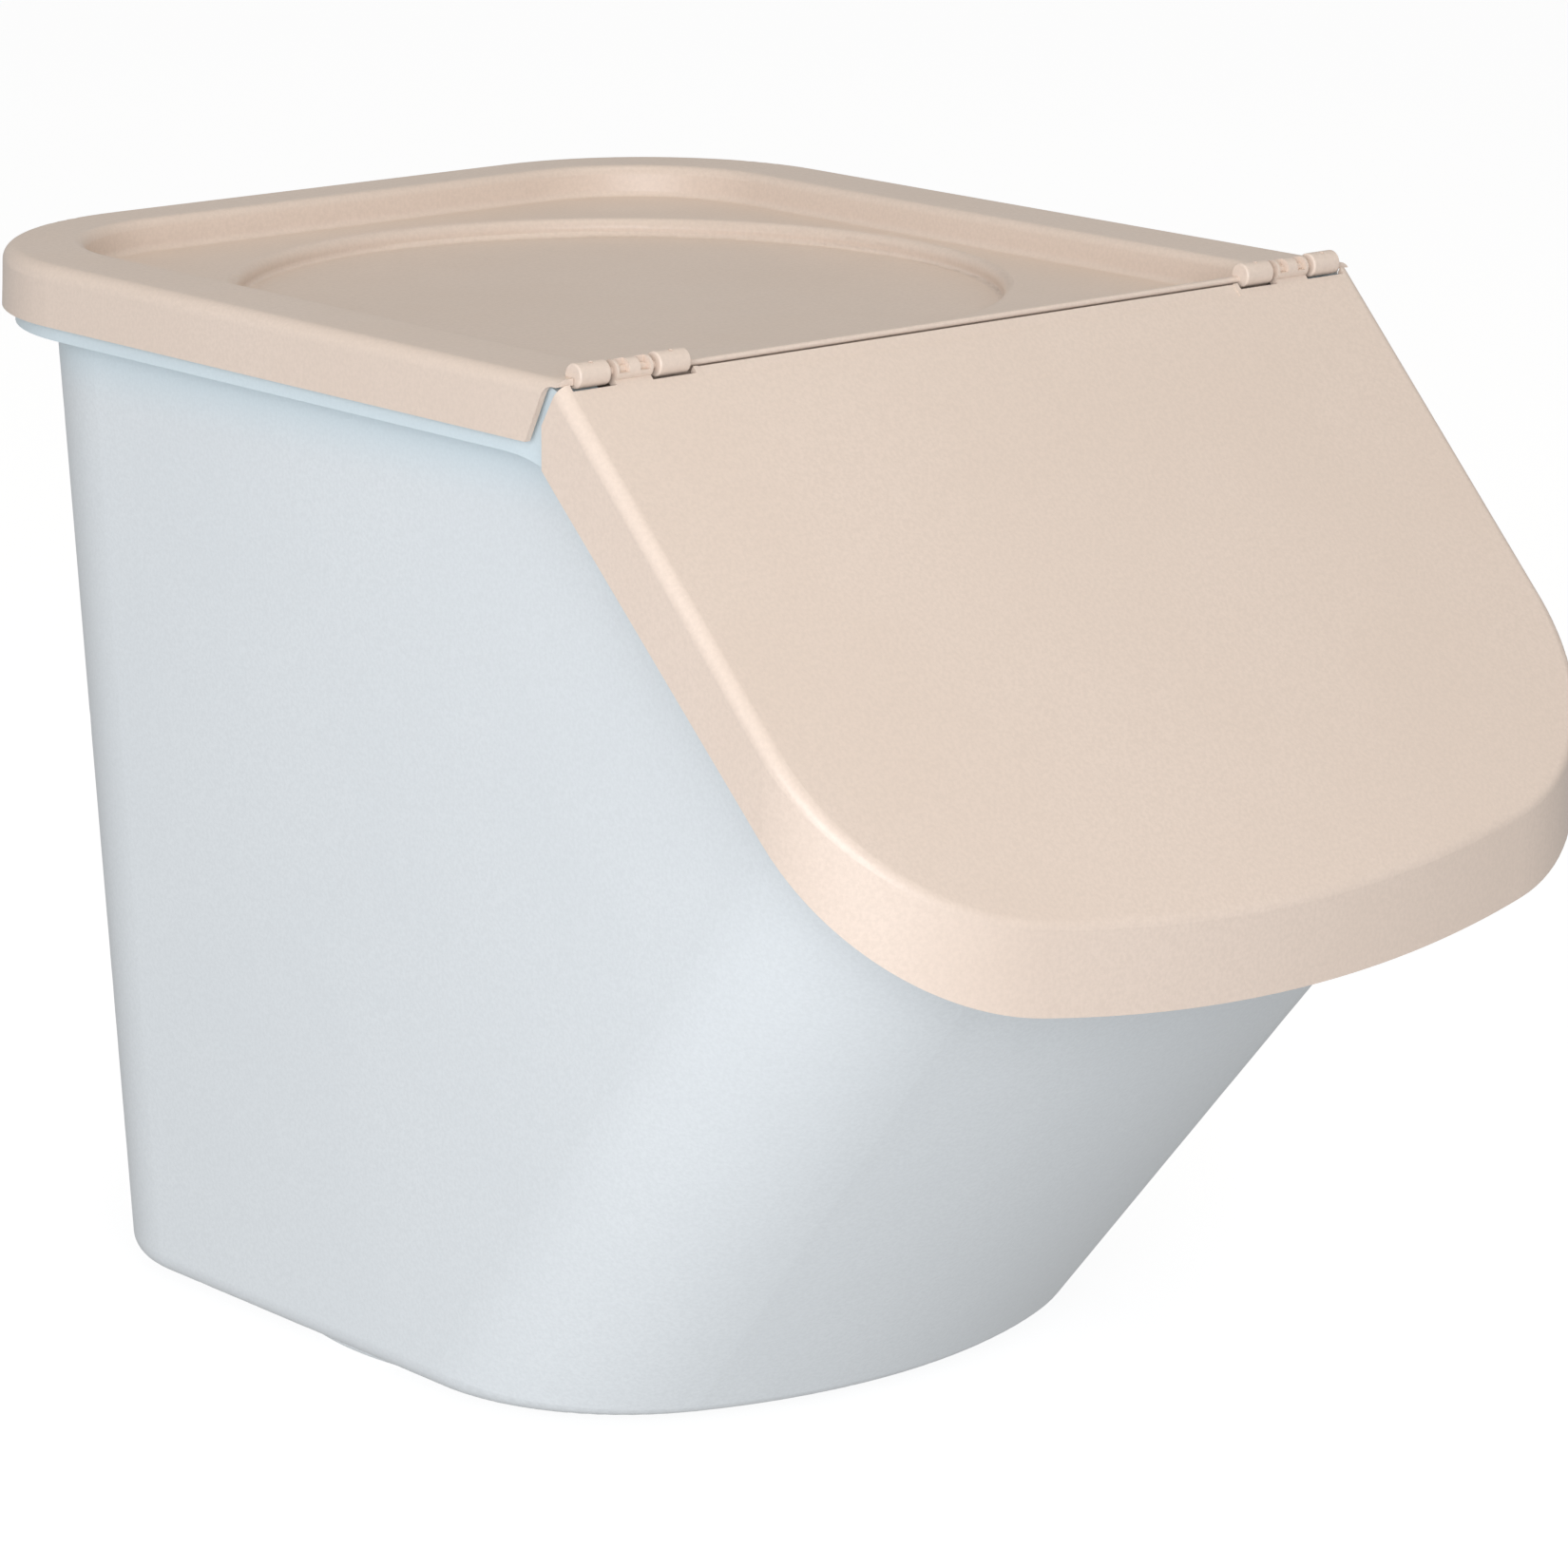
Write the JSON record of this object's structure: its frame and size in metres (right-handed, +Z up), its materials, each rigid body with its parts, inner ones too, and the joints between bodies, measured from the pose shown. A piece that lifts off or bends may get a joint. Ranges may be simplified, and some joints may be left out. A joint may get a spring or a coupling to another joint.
{
  "type": "pet food bin",
  "caption": "Free-standing pet food bin: tapered tub with a slanted front mouth, a lift-off lid with a stacking recess, and a skirted front flap hinged to the lid.",
  "frame": {"origin": "on the floor under the round foot, at the middle of the floor area that the whole bin covers", "axes": "+Z up; -Y is the front, where the flap slopes down; +X is to the right for someone who looks along +Y at the front of the bin"},
  "size_m": [0.3994, 0.5854, 0.4302],
  "materials": {
    "tub_white": "satin, slightly translucent cool white polypropylene",
    "lid_beige": "satin, finely grained beige polypropylene"
  },
  "bodies": {
    "tub": {"tub": "tub_white"},
    "lid": {"rear_lid": "lid_beige"},
    "flap": {"flap": "lid_beige", "hinge_pin_left": "lid_beige", "hinge_pin_right": "lid_beige"}
  },
  "joints": [
    {"name": "lid_lift", "type": "slide", "parent": "tub", "child": "lid", "axis": [0, 0, 1], "range_m": [0, 0.06]},
    {"name": "flap_hinge", "type": "hinge", "parent": "lid", "child": "flap", "pos_m": [0, -0.11323, 0.4256], "axis": [-1, 0, 0], "range_deg": [0, 224]}
  ]
}
